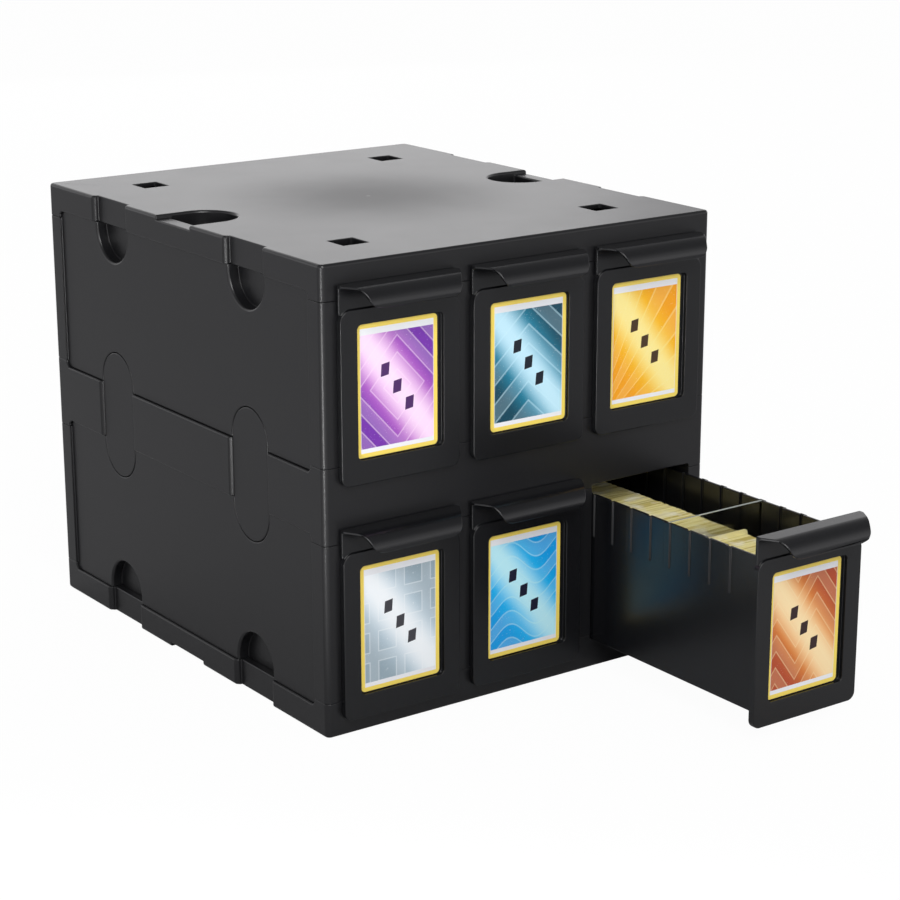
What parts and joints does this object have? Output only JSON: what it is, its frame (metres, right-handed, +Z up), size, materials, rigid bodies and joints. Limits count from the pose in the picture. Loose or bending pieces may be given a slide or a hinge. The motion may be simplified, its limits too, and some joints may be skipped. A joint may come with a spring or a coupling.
{
  "type": "trading card drawer box",
  "caption": "Black moulded cabinet of two storeys with sliding, slotted card drawers, hooded pulls and label card windows; storeys clip together at the sides",
  "frame": {"origin": "centre of the cabinet's bottom face, on the surface it stands on, drawers left out of account", "axes": "+Z up, -Y out of the drawer fronts, +X to the right as seen from the front"},
  "size_m": [0.323, 0.5646, 0.318],
  "materials": {
    "case_plastic": "satin moulded black plastic of the cabinet and its clips",
    "drawer_plastic": "smooth glossy black plastic of the trays and fronts",
    "divider_plastic": "clear plastic sheet",
    "label_purple": "printed card, purple",
    "label_teal": "printed card, dark teal",
    "label_amber": "printed card, amber",
    "label_grey": "printed card, pale grey blue",
    "label_blue": "printed card, blue",
    "label_red": "printed card, red brown",
    "card_edges": "edges of standing paper cards, pale yellow"
  },
  "bodies": {
    "cabinet": {"bottom_panel": "case_plastic", "middle_shelf": "case_plastic", "top_panel": "case_plastic", "side_panel_lower_left": "case_plastic", "partition_lower_left": "case_plastic", "side_panel_lower_right": "case_plastic", "partition_lower_right": "case_plastic", "back_panel_lower": "case_plastic", "side_panel_upper_left": "case_plastic", "partition_upper_left": "case_plastic", "side_panel_upper_right": "case_plastic", "partition_upper_right": "case_plastic", "back_panel_upper": "case_plastic", "clip_left_front": "case_plastic", "clip_left_rear": "case_plastic", "clip_right_front": "case_plastic", "clip_right_rear": "case_plastic"},
    "drawer_lower_left": {"tray_lower_left": "drawer_plastic", "front_lower_left": "drawer_plastic", "label_lower_left": "label_grey", "divider_lower_left": "divider_plastic"},
    "drawer_lower_middle": {"tray_lower_middle": "drawer_plastic", "front_lower_middle": "drawer_plastic", "label_lower_middle": "label_blue", "divider_lower_middle": "divider_plastic"},
    "drawer_lower_right": {"tray_lower_right": "drawer_plastic", "front_lower_right": "drawer_plastic", "label_lower_right": "label_red", "divider_lower_right": "divider_plastic", "cards_front": "card_edges", "cards_rear": "card_edges"},
    "drawer_upper_left": {"tray_upper_left": "drawer_plastic", "front_upper_left": "drawer_plastic", "label_upper_left": "label_purple", "divider_upper_left": "divider_plastic"},
    "drawer_upper_middle": {"tray_upper_middle": "drawer_plastic", "front_upper_middle": "drawer_plastic", "label_upper_middle": "label_teal", "divider_upper_middle": "divider_plastic"},
    "drawer_upper_right": {"tray_upper_right": "drawer_plastic", "front_upper_right": "drawer_plastic", "label_upper_right": "label_amber", "divider_upper_right": "divider_plastic"}
  },
  "joints": [
    {"name": "slide_lower_left", "type": "slide", "parent": "cabinet", "child": "drawer_lower_left", "axis": [0, -1, 0], "range_m": [0, 0.3]},
    {"name": "slide_lower_middle", "type": "slide", "parent": "cabinet", "child": "drawer_lower_middle", "axis": [0, -1, 0], "range_m": [0, 0.3]},
    {"name": "slide_lower_right", "type": "slide", "parent": "cabinet", "child": "drawer_lower_right", "axis": [0, -1, 0], "range_m": [-0.1665, 0.1335]},
    {"name": "slide_upper_left", "type": "slide", "parent": "cabinet", "child": "drawer_upper_left", "axis": [0, -1, 0], "range_m": [0, 0.3]},
    {"name": "slide_upper_middle", "type": "slide", "parent": "cabinet", "child": "drawer_upper_middle", "axis": [0, -1, 0], "range_m": [0, 0.3]},
    {"name": "slide_upper_right", "type": "slide", "parent": "cabinet", "child": "drawer_upper_right", "axis": [0, -1, 0], "range_m": [0, 0.3]}
  ]
}
